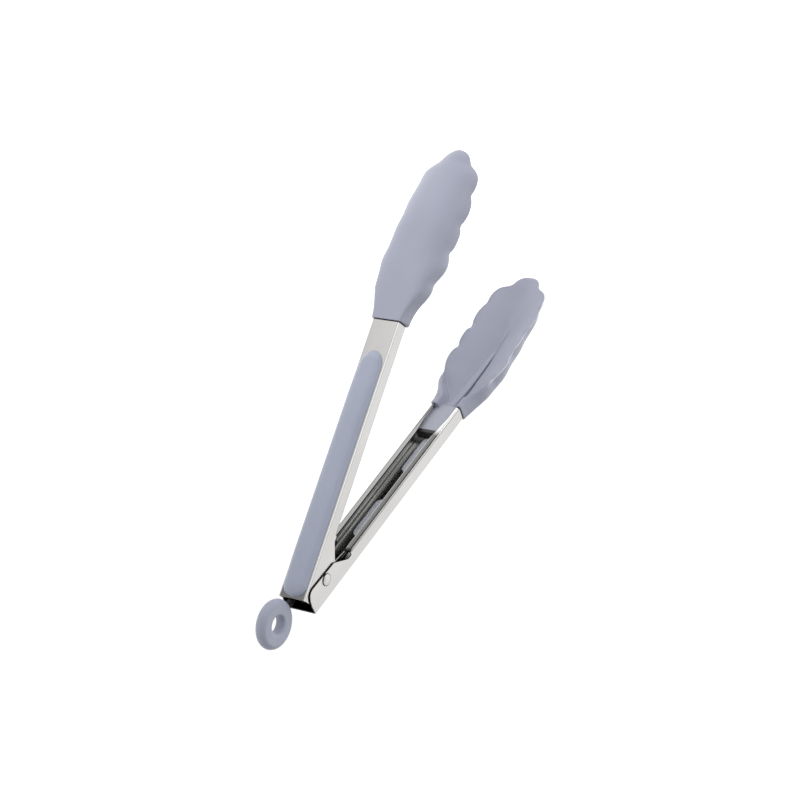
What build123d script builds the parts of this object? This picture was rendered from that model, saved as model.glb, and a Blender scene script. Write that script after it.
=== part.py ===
from build123d import *
import math
import os

# Spring loaded kitchen tongs, millimetres.
# Working frame: hinge pin on Z through the origin, +X along the bisector of the
# open arms towards the heads, inner arm on the +Y side, outer arm on the -Y side.
# Arm frame (u, v, w): u along the arm from the pin, v inwards from the outer face
# of the web, w along the pin.

# ---------------------------------------------------------------- dimensions
OPEN_HALF = 14.355        # half of the angle between the open arms
CLOSE_TRAVEL = 26.4       # arm travel from open to closed
SHEET = 0.8               # stainless sheet
FOLD_RO = 1.2             # outer radius of the web to wall fold
WALL_TOP = 9.1            # height of the channel over the outer face of the web
ROLL_R = 1.8              # outer radius of the rolled lip
LIP_W = 4.3               # lip width in the handle
LIP_W_HEAD = 2.1          # lip width beside the head
LIP_TAPER = (124.0, 142.0)
LIP_START = 25.0          # lips start past the ears
ARM_END = 160.0           # end of the steel, inside the head
COLLAR = 152.5            # edge of the silicone on the steel
SKIN = 0.9                # silicone over the steel at the collar

HW_IN, VP_IN, TAIL_IN = 9.2, 12.1, -16.6      # inner arm: half width, pin height, tail
HW_OUT, VP_OUT, TAIL_OUT = 10.1, 10.8, -16.9  # outer arm

RIVET_R = 2.0
RIVET_HEAD_R, RIVET_HEAD_H = 3.7, 0.8
RUN = 0.05                # running clearance on the radius
SLEEVE_R = 2.8

GRIP = (-15.5, 133.0, 7.7, 2.3)               # start, end, half width, thickness
PLUGS = ((44.0, 74.0), (100.0, 129.0))        # ends of the plugs along u
PLUG_HW = 3.3
PLUG_FLANGE = 0.6

LOCK_DIR = -(OPEN_HALF - (2 * OPEN_HALF - CLOSE_TRAVEL) / 2)  # plate direction from +X
LOCK_Z, LOCK_T = -1.55, 2.0
LOCK_TRAVEL = 8.0
SLOT_HW = SLEEVE_R + 0.1
RING_X, RING_RO, RING_HOLE, RING_T = 38.2, 14.4, 5.0, 6.8

WIRE_R, COIL_R, COIL_Z0, COIL_N = 0.7, 4.3, 0.55, 4.75
KEEP_X, KEEP_T = 16.0, 0.8                    # keeper tab of the inner arm when closed

TILT = -2.845             # pitch of the tongs as they lie on their side
PLACE = (-104.77, -0.63, 11.04)   # set so that the lowest point is at z = 0, centred in x and y

os.makedirs("parts", exist_ok=True)


# ---------------------------------------------------------------- helpers
def path_face(steps, plane):
    """Closed face from ('l', point) and ('a', mid, point) steps in a plane."""
    edges, last = [], plane.from_local_coords(Vector(*steps[0][1], 0))
    first = last
    for s in steps[1:]:
        end = plane.from_local_coords(Vector(*s[-1], 0))
        if s[0] == "l":
            if (end - last).length > 1e-6:
                edges.append(Edge.make_line(last, end))
        else:
            mid = plane.from_local_coords(Vector(*s[1], 0))
            edges.append(Edge.make_three_point_arc(last, mid, end))
        last = end
    if (first - last).length > 1e-6:
        edges.append(Edge.make_line(last, first))
    return Face(Wire(edges))


def poly(points, plane):
    return path_face([("l", p) for p in points], plane)


def prism(face, direction, amount):
    return Solid.extrude(face, Vector(*direction) * amount)


UV = Plane((0, 0, 0), x_dir=(1, 0, 0), z_dir=(0, 0, 1))        # (u, v)
UW = Plane((0, 0, 0), x_dir=(1, 0, 0), z_dir=(0, -1, 0))       # (u, w)


def vw(u):
    return Plane((u, 0, 0), x_dir=(0, 1, 0), z_dir=(1, 0, 0))  # (v, w)


def arc_mid(c, r, a0, a1):
    a = math.radians((a0 + a1) / 2)
    return (c[0] + r * math.cos(a), c[1] + r * math.sin(a))


def lerp(x, xs, ys):
    if x <= xs[0]:
        return ys[0]
    for i in range(1, len(xs)):
        if x <= xs[i]:
            k = (x - xs[i - 1]) / (xs[i] - xs[i - 1])
            return ys[i - 1] + k * (ys[i] - ys[i - 1])
    return ys[-1]


def c_section(hw, u, lip):
    """C-channel section with folded corners and rolled lips."""
    t, ro, rl, wt = SHEET, FOLD_RO, ROLL_R, WALL_TOP
    half = [
        ("l", (0, 0)), ("l", (0, hw - ro)),
        ("a", arc_mid((ro, hw - ro), ro, 180, 90), (ro, hw)),
        ("l", (wt - rl, hw)),
        ("a", arc_mid((wt - rl, hw - rl), rl, 90, 0), (wt, hw - rl)),
        ("l", (wt, hw - lip)), ("l", (wt - t, hw - lip)), ("l", (wt - t, hw - rl)),
        ("a", arc_mid((wt - rl, hw - rl), rl - t, 0, 90), (wt - rl, hw - t)),
        ("l", (ro, hw - t)),
        ("a", arc_mid((ro, hw - ro), ro - t, 90, 180), (t, hw - ro)),
        ("l", (t, 0)),
    ]
    a = path_face(half, vw(u))
    b = path_face([(s[0],) + tuple((p[0], -p[1]) for p in s[1:]) for s in half], vw(u))
    return a, b


def u_section(hw, u, top):
    t, ro = SHEET, FOLD_RO
    half = [
        ("l", (0, 0)), ("l", (0, hw - ro)),
        ("a", arc_mid((ro, hw - ro), ro, 180, 90), (ro, hw)),
        ("l", (top, hw)), ("l", (top, hw - t)), ("l", (ro, hw - t)),
        ("a", arc_mid((ro, hw - ro), ro - t, 90, 180), (t, hw - ro)),
        ("l", (t, 0)),
    ]
    a = path_face(half, vw(u))
    b = path_face([(s[0],) + tuple((p[0], -p[1]) for p in s[1:]) for s in half], vw(u))
    return a, b


def obround(u0, u1, hw, v0, v1):
    r = hw
    f = path_face([
        ("l", (u0 + r, -r)), ("l", (u1 - r, -r)), ("a", (u1, 0), (u1 - r, r)),
        ("l", (u0 + r, r)), ("a", (u0, 0), (u0 + r, -r)),
    ], UW)
    return prism(f, (0, 1, 0), v1 - v0).moved(Location((0, v0, 0)))


def cyl(r, z0, z1, x=0.0, y=0.0):
    return Solid.make_cylinder(r, z1 - z0, Plane((x, y, z0)))


def one(shape):
    s = shape.solids() if hasattr(shape, "solids") else [shape]
    s = sorted(s, key=lambda q: -q.volume)
    return s[0]


# ---------------------------------------------------------------- arms
def arm(hw, vp, tail, ear):
    """Pressed channel: plain walls with ears at the hinge, lips along the handle."""
    u0 = min(p[0] for p in ear) - 0.5
    a, b = u_section(hw, u0, 18.0)
    hinge = prism(a, (1, 0, 0), LIP_START - u0).fuse(prism(b, (1, 0, 0), LIP_START - u0))
    outline = prism(poly(ear, UV), (0, 0, 1), 2 * hw + 4).moved(Location((0, 0, -hw - 2)))
    hinge = hinge & outline
    a, b = c_section(hw, LIP_START, LIP_W)
    handle = prism(a, (1, 0, 0), ARM_END - LIP_START).fuse(prism(b, (1, 0, 0), ARM_END - LIP_START))
    # lips taper towards the head
    k0, k1 = LIP_TAPER
    n0, n1 = hw - LIP_W, hw - LIP_W_HEAD
    cut = poly([(k0, -n0), (k1, -n1), (ARM_END + 1, -n1), (ARM_END + 1, n1), (k1, n1), (k0, n0)], UW)
    handle = handle - prism(cut, (0, 1, 0), 4.0).moved(Location((0, WALL_TOP - 1.6, 0)))
    body = one(hinge.fuse(handle))
    for p0, p1 in PLUGS:
        body = body - obround(p0, p1, PLUG_HW, -1.0, SHEET + 1.0)
    return one(body)


EAR_OUT = [
    (LIP_START, -1), (TAIL_OUT, -1), (TAIL_OUT, 0.4), (-17.3, 2.5), (-17.6, 6.5), (-17.2, 10.4),
    (-15.9, 13.3), (-14.4, 14.6), (-12.5, 15.1), (9.6, 14.3), (10.9, 13.7),
    (19.9, 7.6), (21.0, 6.9), (22.2, 6.6), (LIP_START, 6.6),
]
STOP_Q = 9.85   # distance from the pin at which the inner ears meet the outer web
S2, C2 = math.sin(math.radians(2 * OPEN_HALF)), math.cos(math.radians(2 * OPEN_HALF))


def stop_v(u):
    return VP_IN + (STOP_Q + S2 * u) / C2


EAR_IN = [
    (LIP_START, -1), (TAIL_IN, -1), (TAIL_IN, stop_v(TAIL_IN)), (-14.2, stop_v(-14.2)),
    (-12.6, 15.95), (9.8, 16.05), (11.2, 15.75), (20.4, 9.7), (21.6, 9.1), (LIP_START, 9.1),
]

outer = arm(HW_OUT, VP_OUT, TAIL_OUT, EAR_OUT)
inner = arm(HW_IN, VP_IN, TAIL_IN, EAR_IN)

# holes for the rivet
outer = one(outer - cyl(RIVET_R, -20, 20, 0, VP_OUT))
inner = one(inner - cyl(RIVET_R + RUN, -20, 20, 0, VP_IN))

# keeper tab of the inner arm: lanced from the web, bent in, with a window for the hook
tab_hw, win_hw = 4.0, 1.45
tab_top = VP_IN - 3.3
tab = Solid.make_box(KEEP_T, tab_top, 2 * tab_hw, Plane((KEEP_X, 0, LOCK_Z - tab_hw)))
tab = tab - Solid.make_box(4, 3.1, 2 * win_hw, Plane((KEEP_X - 2, VP_IN - 7.6, LOCK_Z - win_hw)))
lance = Solid.make_box(tab_top - 1.0, 4, 2 * tab_hw + 0.6, Plane((KEEP_X + KEEP_T, -1.5, LOCK_Z - tab_hw - 0.3)))
inner = one(one(inner - lance).fuse(tab))


# ---------------------------------------------------------------- heads
HU = [152.5, 160, 168, 176, 184, 192, 202, 212, 222, 232, 242, 252, 260, 270]
H_RIM = [9.9, 10.0, 10.2, 10.6, 11.2, 11.9, 12.8, 13.6, 14.3, 14.9, 15.6, 16.2, 16.6, 16.8]
H_MID = [3.9, 3.7, 3.3, 2.8, 2.5, 2.4, 2.4, 2.7, 3.7, 5.4, 7.8, 10.6, 13.2, 16.4]
H_BACK = [-0.9, -1.0, -1.1, -1.2, -1.25, -1.2, -1.0, -0.4, 0.9, 2.9, 5.3, 8.1, 10.6, 13.6]
H_FOLD = [-0.7, -0.2, 0.8, 2.0, 3.6, 4.6, 5.4, 6.8, 9.0, 11.4, 12.7, 13.4, 13.8, 14.0]
H_W = [10.3, 12.2, 14.2, 16.0, 17.6, 19.0, 19.4, 19.6, 19.8, 19.6, 18.3, 15.6, 11.5, 6.0]
H_NECK = [1.0, 1.0, 0.8, 0.45, 0.15, 0, 0, 0, 0, 0, 0, 0, 0, 0]


def head_inner(u, x):
    """Height of the inner face at the fraction x of the half width."""
    x = min(abs(x), 1.0)
    k = lerp(u, HU, H_NECK)
    leaf = x
    neck = lerp(x, [0, 0.62, 0.72, 0.86, 1.0], [0, 0, 0.25, 0.92, 1.0])
    m, r = lerp(u, HU, H_MID), lerp(u, HU, H_RIM)
    return m + (r - m) * (k * neck + (1 - k) * leaf)


def head_back(u, x):
    """Height of the back at the fraction x of the half width."""
    x = min(abs(x), 1.0)
    b, f = lerp(u, HU, H_BACK), lerp(u, HU, H_FOLD)
    return b + (f - b) * x ** 2.6


VALLEYS = [(181.0, 15.7), (201.7, 17.9), (219.6, 18.3), (240.1, 17.1), (260.6, 9.5)]
PEAKS = [(192.0, 20.2), (211.0, 20.6), (230.2, 20.9), (251.3, 16.6)]
TIP = 268.4


def head_outline(wc):
    side = [("a", (162.5, wc + 1.9), (170.0, 14.9)), ("a", (176.0, 16.4), VALLEYS[0])]
    for p, v in zip(PEAKS, VALLEYS[1:]):
        side.append(("a", p, v))
    steps = [("l", (COLLAR, -wc)), ("l", (COLLAR, wc))] + side
    steps.append(("a", (TIP, 0), (VALLEYS[-1][0], -VALLEYS[-1][1])))
    pts = [(COLLAR, wc)] + [s[-1] for s in side]
    for i in range(len(side) - 1, -1, -1):
        m = side[i][1]
        steps.append(("a", (m[0], -m[1]), (pts[i][0], -pts[i][1])))
    return path_face(steps, UW)


def head(hw):
    wc = hw + SKIN
    secs = []
    xi = [-1.4, -1.0, -0.86, -0.72, -0.62, -0.3, 0, 0.3, 0.62, 0.72, 0.86, 1.0, 1.4]
    xb = [1.4, 1.0, 0.75, 0.45, 0, -0.45, -0.75, -1.0, -1.4]
    for u in HU:
        w = lerp(u, HU, H_W)
        if u < 165:
            w += (hw - HW_IN)
        pts = [(head_inner(u, x), x * w) for x in xi] + [(head_back(u, x), x * w) for x in xb]
        secs.append(poly(pts, vw(u)))
    body = Solid.make_loft([s.outer_wire() for s in secs], ruled=True)
    cut = prism(head_outline(wc), (0, 1, 0), 30.0).moved(Location((0, -6, 0)))
    return one(body & cut)


def core(hw):
    """Stiff insert: tongue in the channel and a ribbed blade under the silicone."""
    wi = hw - SHEET
    tongue = Solid.make_box(ARM_END + 1.2 - 130.0, 3.0, 2 * (wi - 0.5), Plane((130.0, SHEET, -(wi - 0.5))))
    secs = []
    for u, half in ((ARM_END + 0.3, 7.6), (170, 8.5), (184, 10.5), (202, 12.0), (222, 12.0), (240, 10.0), (254, 5.5)):
        w = lerp(u, HU, H_W)
        lo, hi = [], []
        for x in (-1, -0.5, 0, 0.5, 1):
            ww = x * half
            mid = 0.5 * head_inner(u, ww / w) + 0.5 * head_back(u, ww / w)
            t = 0.6 if u > ARM_END + 1 else 1.1
            lo.append((mid - t, ww))
            hi.append((mid + t, ww))
        secs.append(poly(lo + hi[::-1], vw(u)))
    blade = Solid.make_loft([s.outer_wire() for s in secs], ruled=True)
    return one(tongue.fuse(blade))


core_out, core_in = core(HW_OUT), core(HW_IN)
head_out = one(head(HW_OUT) - outer - core_out)
head_in = one(head(HW_IN) - inner - core_in)


# ---------------------------------------------------------------- grips
def grip():
    u0, u1, hw, t = GRIP
    pad = obround(u0, u1, hw, -t, 0)
    top = [e for e in pad.edges() if abs(e.center().Y + t) < 1e-6]
    pad = pad.fillet(1.7, top)
    for p0, p1 in PLUGS:
        pad = pad.fuse(obround(p0, p1, PLUG_HW, -0.2, SHEET))
        pad = pad.fuse(obround(p0 - PLUG_FLANGE, p1 + PLUG_FLANGE, PLUG_HW + PLUG_FLANGE, SHEET, SHEET + 1.3))
    return one(pad)


# ---------------------------------------------------------------- hinge
def rivet_solid():
    """Shank with a low head at each end: a short rim under a spherical cap."""
    rim = 0.25
    cap = RIVET_HEAD_H - rim
    big = (RIVET_HEAD_R ** 2 + cap ** 2) / (2 * cap)
    top = HW_OUT + RIVET_HEAD_H
    body = cyl(RIVET_R, -HW_OUT - 0.1, HW_OUT + 0.1)
    for s in (1, -1):
        disc = cyl(RIVET_HEAD_R, min(s * HW_OUT, s * top), max(s * HW_OUT, s * top))
        dome = Solid.make_sphere(big, Plane((0, 0, s * (top - big))), -90, 90, 360)
        body = one(body.fuse(one(disc & dome)))
    return body


rivet = one(rivet_solid())
sl = HW_IN - SHEET - RUN
sleeve = one(cyl(SLEEVE_R, -sl, sl) - cyl(RIVET_R + RUN, -sl - 1, sl + 1))

# torsion spring: close coil on the sleeve, one leg on each web
pitch = 2 * WIRE_R + 0.06


def rod(p, q, r=WIRE_R):
    d = Vector(*q) - Vector(*p)
    return Solid.make_cylinder(r, d.length, Plane(Vector(*p), z_dir=d))


def ball(p, r=WIRE_R):
    return Solid.make_sphere(r, Plane(p), -90, 90, 360)


def web_point(side, u, gap):
    """Point at distance gap inside the inner face of a web, in the working frame."""
    a = math.radians(OPEN_HALF) * side
    h = ((VP_IN if side > 0 else VP_OUT) - SHEET - gap) * side
    return (u * math.cos(a) - h * math.sin(a), u * math.sin(a) + h * math.cos(a))


z_lo, z_hi = COIL_Z0, COIL_Z0 + pitch * COIL_N
coil_in, coil_out = COIL_R - WIRE_R, COIL_R + WIRE_R
coil = cyl(coil_out, z_lo - WIRE_R, z_hi + WIRE_R) - cyl(coil_in, z_lo - 3, z_hi + 3)
groove = pitch
for k in range(int(COIL_N) + 1):
    zc = z_lo + pitch * (k + 0.5)
    if zc + 0.3 < z_hi + WIRE_R:
        f = path_face([("l", (coil_out - 0.28, zc)), ("l", (coil_out + 0.3, zc - 0.34)), ("l", (coil_out + 0.3, zc + 0.34))],
                      Plane((0, 0, 0), x_dir=(1, 0, 0), z_dir=(0, -1, 0)))
        coil = coil - Solid.revolve(f, 360, Axis.Z)
coil = one(coil)


def leg(side, z):
    tip = web_point(side, 33.0, WIRE_R + 0.25)
    # tangent from the tip to the coil circle, on the side of its own web
    d = math.hypot(*tip)
    base = math.atan2(tip[1], tip[0])
    off = math.acos(COIL_R / d)
    a = base + off * side
    p = (COIL_R * math.cos(a), COIL_R * math.sin(a))
    return rod((p[0], p[1], z), (tip[0], tip[1], z)).fuse(ball((tip[0], tip[1], z)))


spring = one(coil.fuse(leg(1, z_hi), leg(-1, z_lo)))

# lock plate, drawn along +X and turned to its direction
PL = Plane((0, 0, LOCK_Z - LOCK_T / 2), x_dir=(1, 0, 0), z_dir=(0, 0, 1))
rear, front = -(SLOT_HW + 2.2), LOCK_TRAVEL + SLOT_HW + 2.2
plate = poly([
    (front, -5.0), (rear, -5.0), (rear - 0.5, -9.55), (rear - 7.5, -9.55), (rear - 7.5, -2.0),
    (-(RING_X - 8.0), -2.0), (-(RING_X - 8.0), -3.6), (-(RING_X - 6.4), -3.6), (-(RING_X - 6.4), 3.6),
    (-(RING_X - 8.0), 3.6), (-(RING_X - 8.0), 2.0), (rear - 3.0, 2.0), (rear, 5.0),
    (front - 2.5, 5.0), (front, 2.9), (25.3, 2.9), (25.3, 5.0), (19.1, 5.0), (18.5, 5.6), (18.5, 6.4), (19.1, 7.0),
    (28.3, 7.0), (28.3, -1.0), (front + 1.0, -1.0),
], PL)
plate = prism(plate, (0, 0, 1), LOCK_T)
slot = path_face([("l", (0, -SLOT_HW)), ("l", (LOCK_TRAVEL, -SLOT_HW)), ("a", (LOCK_TRAVEL + SLOT_HW, 0), (LOCK_TRAVEL, SLOT_HW)),
                  ("l", (0, SLOT_HW)), ("a", (-SLOT_HW, 0), (0, -SLOT_HW))], PL)
plate = one(plate - prism(slot, (0, 0, 1), LOCK_T + 2).moved(Location((0, 0, -1))))

# ring: round rim outside, rounded mouth and a short straight land in the hole
h2, rr = RING_T / 2, RING_T / 2
land = 1.4
fr = h2 - land
ring_face = path_face([
    ("l", (RING_HOLE, -land)), ("l", (RING_HOLE, land)),
    ("a", arc_mid((RING_HOLE + fr, land), fr, 180, 90), (RING_HOLE + fr, h2)),
    ("l", (RING_RO - rr, h2)), ("a", (RING_RO, 0), (RING_RO - rr, -h2)),
    ("l", (RING_HOLE + fr, -h2)),
    ("a", arc_mid((RING_HOLE + fr, -land), fr, 270, 180), (RING_HOLE, -land)),
], Plane((0, 0, 0), x_dir=(1, 0, 0), z_dir=(0, -1, 0)))
ring = Solid.revolve(ring_face, 360, Axis.Z).moved(Location((-RING_X, 0, LOCK_Z)))
ring = one(ring - plate)


# ---------------------------------------------------------------- placing
def place_outer(s):
    return s.moved(Location((0, -VP_OUT, 0))).moved(Location((0, 0, 0), (0, 0, -OPEN_HALF)))


def place_inner(s):
    return s.mirror(Plane.XZ).moved(Location((0, VP_IN, 0))).moved(Location((0, 0, 0), (0, 0, OPEN_HALF)))


def place_lock(s):
    return s.moved(Location((0, 0, 0), (0, 0, LOCK_DIR)))


pad = grip()
nodes = {
    "outer_arm": place_outer(outer),
    "outer_head": place_outer(head_out),
    "outer_head_core": place_outer(core_out),
    "outer_grip": place_outer(pad),
    "inner_arm": place_inner(inner),
    "inner_head": place_inner(head_in),
    "inner_head_core": place_inner(core_in),
    "inner_grip": place_inner(pad),
    "hinge_rivet": rivet,
    "hinge_sleeve": sleeve,
    "torsion_spring": spring,
    "lock_plate": place_lock(plate),
    "pull_ring": place_lock(ring),
}

rest = Location(PLACE) * Location((0, 0, 0), (0, TILT, 0))
for name, solid in nodes.items():
    solid = one(solid).moved(rest)
    solid.label = name
    export_step(solid, f"parts/{name}.step")
    b = solid.bounding_box()
    print(f"{name:18s} vol {solid.volume:10.2f}  x {b.min.X:8.2f} {b.max.X:8.2f}  y {b.min.Y:8.2f} {b.max.Y:8.2f}  z {b.min.Z:8.2f} {b.max.Z:8.2f}")
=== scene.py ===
import math

import bmesh
import bpy
import numpy as np
from mathutils import Matrix, Vector


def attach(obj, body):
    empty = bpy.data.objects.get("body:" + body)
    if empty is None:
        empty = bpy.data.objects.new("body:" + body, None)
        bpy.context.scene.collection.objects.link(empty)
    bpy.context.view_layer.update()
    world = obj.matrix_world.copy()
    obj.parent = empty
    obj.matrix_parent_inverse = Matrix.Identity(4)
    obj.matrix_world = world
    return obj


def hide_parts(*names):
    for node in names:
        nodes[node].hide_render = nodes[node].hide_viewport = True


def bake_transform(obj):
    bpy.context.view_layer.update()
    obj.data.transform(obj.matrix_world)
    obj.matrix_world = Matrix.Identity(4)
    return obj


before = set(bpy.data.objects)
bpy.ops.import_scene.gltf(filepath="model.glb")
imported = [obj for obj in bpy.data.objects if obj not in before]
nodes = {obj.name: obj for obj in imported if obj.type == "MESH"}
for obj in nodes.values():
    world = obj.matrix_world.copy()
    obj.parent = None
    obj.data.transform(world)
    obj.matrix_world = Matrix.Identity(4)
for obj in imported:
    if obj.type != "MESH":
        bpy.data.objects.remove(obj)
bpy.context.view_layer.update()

# ------------------------------------------------------------------ frame of the arms (mm)
OPEN = math.radians(14.355)
TILT = math.radians(-2.845)
PLACE = np.array([-104.77, -0.63, 11.04])
VP = {"outer": 10.8, "inner": 12.1}
HW = {"outer": 10.1, "inner": 9.2}
LOCK_DIR = math.radians(-13.2)
LOCK_Z = -1.55
C, S = math.cos(OPEN), math.sin(OPEN)
RY = np.array([[math.cos(TILT), 0, math.sin(TILT)], [0, 1, 0], [-math.sin(TILT), 0, math.cos(TILT)]])


def to_row(p):
    """Working frame in mm, hinge pin on Z, to the row frame in metres."""
    return (np.asarray(p, float) @ RY.T + PLACE) / 1000.0


def arm_axes(side):
    """Matrix and origin that take (u, v, w) of an arm to the working frame."""
    if side == "outer":
        m = np.array([[C, S, 0], [-S, C, 0], [0, 0, 1.0]])
        o = np.array([-VP[side] * S, -VP[side] * C, 0])
    else:
        m = np.array([[C, S, 0], [S, -C, 0], [0, 0, 1.0]])
        o = np.array([-VP[side] * S, VP[side] * C, 0])
    return m, o


def arm_to_row(side, uvw):
    m, o = arm_axes(side)
    return to_row(np.asarray(uvw, float) @ m.T + o)


def lock_to_row(p):
    c, s = math.cos(LOCK_DIR), math.sin(LOCK_DIR)
    m = np.array([[c, -s, 0], [s, c, 0], [0, 0, 1.0]])
    return to_row(np.asarray(p, float) @ m.T)


def make_object(name, verts, faces, rim_light_slit_shade=None, smooth=True, sharp_deg=None):
    me = bpy.data.meshes.new(name)
    me.from_pydata([tuple(map(float, v)) for v in verts], [], [tuple(map(int, f)) for f in faces])
    # optional point attribute with the painted rim highlight and painted slit shade of the heads
    if rim_light_slit_shade is not None:
        me.attributes.new("rim_light_slit_shade", "FLOAT", "POINT").data.foreach_set("value", np.asarray(rim_light_slit_shade, np.float32))
    bm = bmesh.new()
    bm.from_mesh(me)
    bmesh.ops.remove_doubles(bm, verts=bm.verts, dist=1e-7)
    bmesh.ops.dissolve_degenerate(bm, edges=bm.edges, dist=1e-8)
    bmesh.ops.recalc_face_normals(bm, faces=bm.faces)
    if sharp_deg is not None:
        for e in bm.edges:
            if len(e.link_faces) == 2 and e.calc_face_angle(0.0) > math.radians(sharp_deg):
                e.smooth = False
    for f in bm.faces:
        f.smooth = smooth
    bm.to_mesh(me)
    bm.free()
    me.validate()
    ob = bpy.data.objects.new(name, me)
    bpy.context.scene.collection.objects.link(ob)
    return ob


def lerp(xs, ys, x):
    return np.interp(x, xs, ys)


def spline(xs, ys, x):
    """Monotone-ish cubic through a table."""
    xs, ys = np.asarray(xs, float), np.asarray(ys, float)
    d = np.diff(ys) / np.diff(xs)
    m = np.empty_like(ys)
    m[1:-1] = (d[:-1] + d[1:]) / 2
    m[0], m[-1] = d[0], d[-1]
    x = np.clip(np.asarray(x, float), xs[0], xs[-1])
    i = np.clip(np.searchsorted(xs, x) - 1, 0, len(xs) - 2)
    h = xs[i + 1] - xs[i]
    t = (x - xs[i]) / h
    return ((1 + 2 * t) * (1 - t) ** 2 * ys[i] + t * (1 - t) ** 2 * h * m[i]
            + t * t * (3 - 2 * t) * ys[i + 1] + t * t * (t - 1) * h * m[i + 1])


def step(a, b, x):
    t = np.clip((np.asarray(x, float) - a) / (b - a), 0, 1)
    return t * t * (3 - 2 * t)


# ------------------------------------------------------------------ silicone heads
HU = [152.5, 160, 168, 176, 184, 192, 202, 212, 222, 232, 242, 252, 260, 270]
H_RIM = [9.9, 10.0, 10.1, 10.2, 10.45, 11.5, 12.9, 13.75, 14.35, 14.95, 15.6, 16.15, 16.5, 16.8]
H_BACK = [-0.9, -1.0, -1.1, -1.2, -1.25, -1.2, -1.0, -0.4, 0.9, 2.9, 5.3, 8.1, 10.6, 13.6]
# half width of the rim: collar, neck, then the scallops to the tip
RIM_U = [154, 156, 158, 160, 162, 164, 166, 168, 170, 172, 174, 176, 178, 180, 182, 184, 186, 188, 190, 192, 194, 196, 198, 200, 202,
         204, 206, 208, 210, 212, 214, 216, 218, 220, 222, 224, 226, 228, 230, 232, 234, 236, 238, 240, 242, 244, 246, 248, 250, 252,
         254, 256]
RIM_W = [10.8, 11.05, 11.4, 11.8, 12.35, 13.1, 14.0, 15.1, 16.0, 16.7, 17.15, 17.3, 17.1, 17.05, 17.5, 18.4, 19.22, 20.05, 20.64,
         20.98, 21.02, 20.62, 20.13, 19.54, 19.39, 19.76, 20.32, 20.69, 20.89, 20.95, 20.85, 20.42, 19.73, 19.56, 19.82, 20.31,
         20.79, 21.14, 21.29, 21.27, 20.92, 20.41, 19.75, 19.02, 18.96, 19.14, 19.23, 19.21, 19.01, 18.35, 17.35, 15.6]
END = [(258.0, 13.1), (259.4, 11.2), (260.6, 10.2), (262.0, 9.5), (264.0, 8.35), (265.8, 6.85), (267.2, 5.1), (268.1, 3.2), (268.55, 1.4)]
TIP = {"outer": 269.0, "inner": 268.4}
TIP_W = {"outer": -0.5, "inner": 0.4}
ENV_U = [152.5, 156, 160, 164, 168, 172, 176, 180, 184, 188, 192, 200, 210, 220, 230, 236, 242, 248, 252, 256, 260, 264, 266.5, 268.7]
ENV_W = [11.0, 11.05, 11.8, 13.1, 15.1, 16.7, 17.4, 18.3, 19.4, 20.4, 21.0, 21.0, 21.0, 21.2, 21.3, 21.0, 20.3, 19.3, 18.4, 16.2, 12.4, 9.2, 6.6, 2.6]
FLARE = ([168, 176, 182, 188, 194, 202, 217, 232, 242], [0, 0.35, 0.65, 0.55, 0.15, -0.2, -0.15, 0.0, 0.0])
COLLAR = 152.5
COLLAR_T = {"outer": 0.55, "inner": 0.9}
HEAD_W = {"outer": 0.4, "inner": 0.2}
HEAD_TIP = {"outer": -1.1, "inner": 0.2}


def head_outline(side):
    """Half outline of a head in (u, w), collar to tip, valleys eased."""
    wc = HW[side] + COLLAR_T[side]
    k = {"outer": 1.0, "inner": -1.0}[side]
    ru = np.array([COLLAR] + RIM_U + [e[0] for e in END])
    rw = np.array([wc] + RIM_W + [e[1] for e in END])
    rw = rw + np.interp(ru, [246, 252, 261, 266], [0, TIP_W[side], TIP_W[side], 0])
    gap = np.maximum(spline(ENV_U, ENV_W, ru) - rw, 0)
    rw = rw + np.interp(ru, *FLARE) + 0.22 * gap * step(178, 184, ru) * step(257, 253, ru)
    ru = ru + k * np.interp(ru, [185, 195, 212, 231, 248, 258, 266], [0, 1.1, 0.2, 1.2, 1.6, 0.7, 0.3])
    full = np.concatenate([np.stack([ru, rw], 1), [[TIP[side], 0.0]], np.stack([ru, -rw], 1)[::-1]])
    # a smooth curve through the table, evenly spaced
    for _ in range(3):
        ch = np.concatenate([[0], np.cumsum(np.linalg.norm(np.diff(full, axis=0), axis=1))])
        e = np.linspace(0, ch[-1], 2 * len(full))
        full = np.stack([spline(ch, full[:, 0], e), spline(ch, full[:, 1], e)], 1)
    s = np.concatenate([[0], np.cumsum(np.linalg.norm(np.diff(full, axis=0), axis=1))])
    n = 2401
    e = np.linspace(0, s[-1], n)
    q = np.stack([np.interp(e, s, full[:, 0]), np.interp(e, s, full[:, 1])], 1)
    ds = s[-1] / (n - 1)
    sig = 0.7 / ds
    half = int(3 * sig)
    k = np.exp(-0.5 * (np.arange(-half, half + 1) / sig) ** 2)
    k /= k.sum()
    pad = np.concatenate([2 * q[0] - q[1:half + 1][::-1], q, 2 * q[-1] - q[-half - 1:-1][::-1]])
    q = np.stack([np.convolve(pad[:, 0], k, "valid"), np.convolve(pad[:, 1], k, "valid")], 1)
    return q[: n // 2 + 1]


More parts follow.
